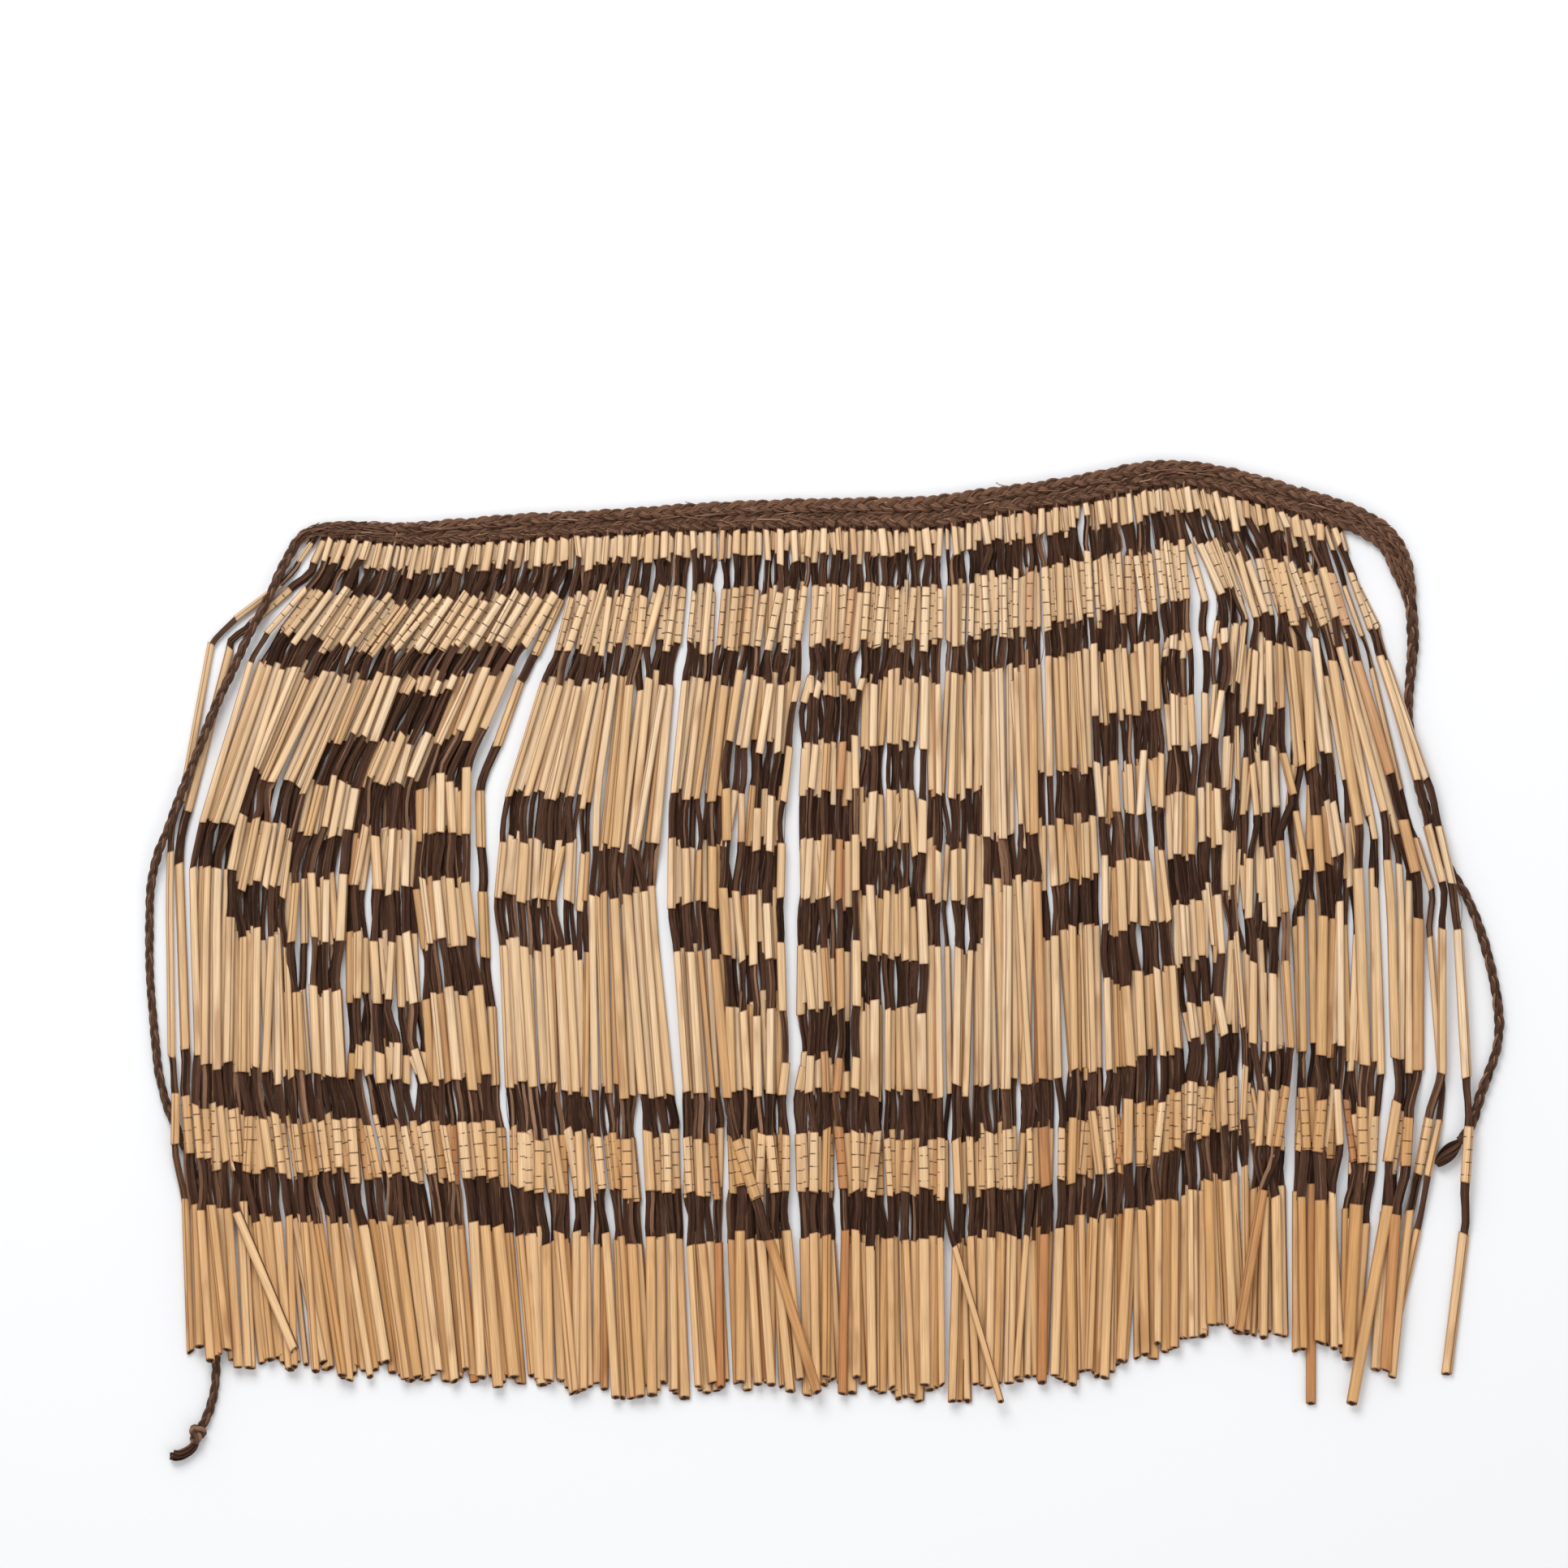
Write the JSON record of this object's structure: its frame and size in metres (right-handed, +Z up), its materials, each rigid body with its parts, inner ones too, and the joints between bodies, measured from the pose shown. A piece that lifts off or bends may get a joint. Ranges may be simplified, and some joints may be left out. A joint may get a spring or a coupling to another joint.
{
  "type": "grass skirt",
  "caption": "Dance skirt of rolled, patterned leaf strands on a plaited waistband with two plaited ties, laid open and flat.",
  "frame": {"origin": "centre of the bottom of the box round the waistband and the strands, on the surface that the skirt lies on", "axes": "+X along the waistband towards the wide end of the tie that bends round, +Y from the hem to the waistband, +Z up"},
  "size_m": [0.8359, 0.6155, 0.0145],
  "materials": {
    "plaited_fibre": "dark dyed plaited leaf fibre, matt with a dull sheen",
    "tie_fibre": "dark dyed plaited leaf fibre, matt",
    "leaf_strand": "dried rolled leaf, cream to straw, satin, with scraped stretches of dark dyed fibre"
  },
  "bodies": {
    "root": {"waistband": "plaited_fibre", "tie_left": "tie_fibre", "tie_right": "tie_fibre", "knot_left": "tie_fibre", "knot_right": "tie_fibre", "tuft_left": "tie_fibre", "fringe_1": "leaf_strand", "fringe_2": "leaf_strand", "fringe_3": "leaf_strand", "fringe_4": "leaf_strand", "fringe_5": "leaf_strand", "fringe_6": "leaf_strand"}
  },
  "joints": []
}
